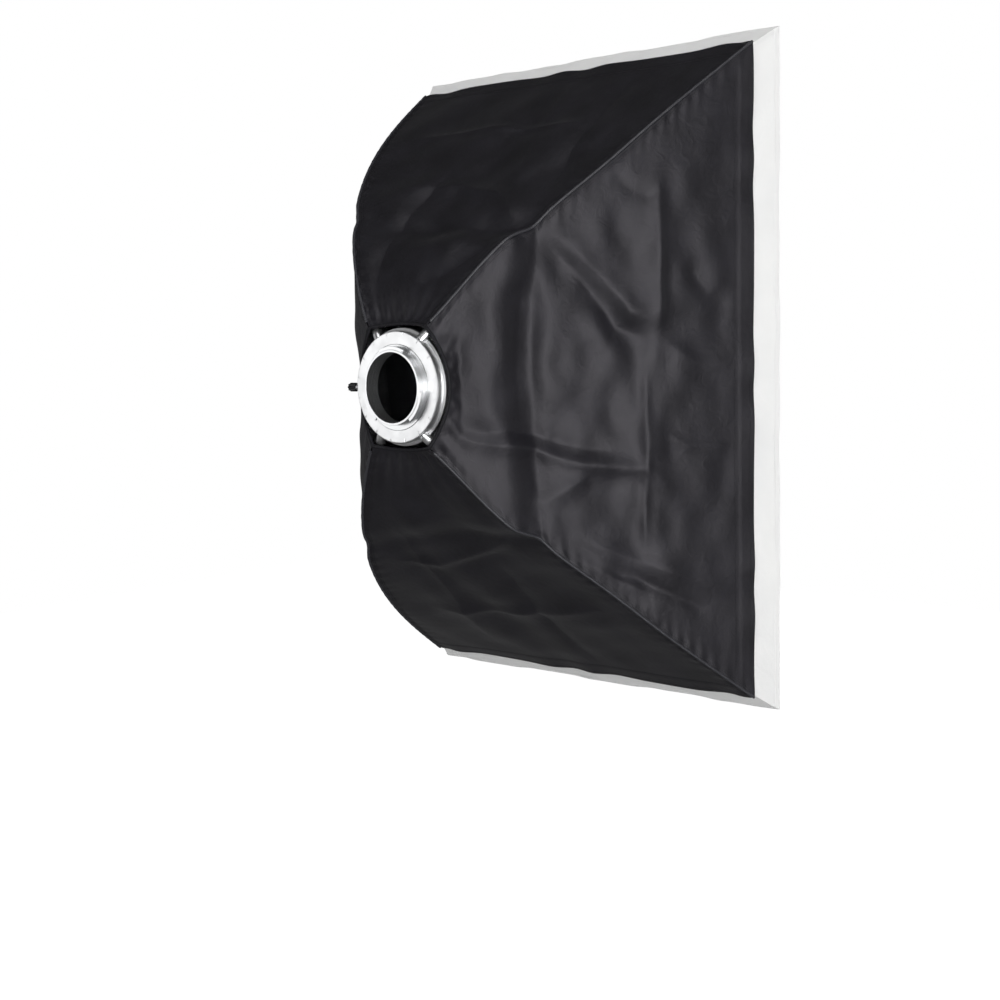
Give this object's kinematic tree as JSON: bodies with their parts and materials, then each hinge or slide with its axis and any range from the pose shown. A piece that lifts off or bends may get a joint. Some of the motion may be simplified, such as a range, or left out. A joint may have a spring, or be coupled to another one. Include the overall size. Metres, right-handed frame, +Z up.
{
  "type": "studio softbox",
  "caption": "Rectangular studio softbox: black cloth shell sprung on rods from a turning bayonet ring, with an inner baffle and a white removable front cover.",
  "frame": {"origin": "centre of the bayonet's seat face, on the ring's axis", "axes": "+Z up, +Y back along the ring's axis toward the lamp head, so the light leaves along -Y; +X is right as seen from the front"},
  "size_m": [0.636, 0.4465, 0.944],
  "materials": {
    "bayonet_insert": "turned satin aluminium",
    "rod_ring": "satin cast aluminium",
    "retaining_ring": "brushed aluminium",
    "screw_steel": "zinc plated steel",
    "spring_steel": "polished spring steel",
    "black_plastic": "moulded matt plastic",
    "black_cloth": "coated black nylon, silver inside",
    "black_trim": "woven polyester trim",
    "white_cloth": "translucent white nylon",
    "white_tape": "woven hook tape",
    "elastic": "braided elastic cord"
  },
  "bodies": {
    "bayonet": {"bayonet_insert": "bayonet_insert"},
    "softbox": {"rod_ring": "rod_ring", "retaining_ring": "retaining_ring", "retaining_screw_1": "screw_steel", "retaining_screw_2": "screw_steel", "retaining_screw_3": "screw_steel", "retaining_screw_4": "screw_steel", "rod_top_left": "spring_steel", "rod_cap_top_left": "black_plastic", "corner_pocket_top_left": "black_trim", "seam_piping_top_left": "black_trim", "baffle_loop_top_left": "elastic", "rod_top_right": "spring_steel", "rod_cap_top_right": "black_plastic", "corner_pocket_top_right": "black_trim", "seam_piping_top_right": "black_trim", "baffle_loop_top_right": "elastic", "rod_bottom_right": "spring_steel", "rod_cap_bottom_right": "black_plastic", "corner_pocket_bottom_right": "black_trim", "seam_piping_bottom_right": "black_trim", "baffle_loop_bottom_right": "elastic", "rod_bottom_left": "spring_steel", "rod_cap_bottom_left": "black_plastic", "corner_pocket_bottom_left": "black_trim", "seam_piping_bottom_left": "black_trim", "baffle_loop_bottom_left": "elastic", "panel_top": "black_cloth", "loop_tape_top": "black_trim", "panel_right": "black_cloth", "loop_tape_right": "black_trim", "panel_bottom": "black_cloth", "loop_tape_bottom": "black_trim", "panel_left": "black_cloth", "loop_tape_left": "black_trim", "neck_hem": "black_trim", "inner_baffle": "white_cloth"},
    "lock": {"lock_screw": "screw_steel", "lock_knob": "black_plastic"},
    "front_cover": {"front_diffuser": "white_cloth", "cover_band_top": "white_cloth", "cover_band_right": "white_cloth", "cover_band_bottom": "white_cloth", "cover_band_left": "white_cloth", "hook_tape_top": "white_tape", "hook_tape_right": "white_tape", "hook_tape_bottom": "white_tape", "hook_tape_left": "white_tape"}
  },
  "joints": [
    {"name": "ring_swivel", "type": "hinge", "parent": "bayonet", "child": "softbox", "pos_m": [0, 0, 0], "axis": [0, 1, 0], "continuous": true},
    {"name": "lock_turn", "type": "hinge", "parent": "softbox", "child": "lock", "pos_m": [0.08, -0.00465, 0], "axis": [1, 0, 0], "range_deg": [0, 720]},
    {"name": "cover_removal", "type": "slide", "parent": "softbox", "child": "front_cover", "axis": [0, -1, 0], "range_m": [0, 0.3]}
  ]
}
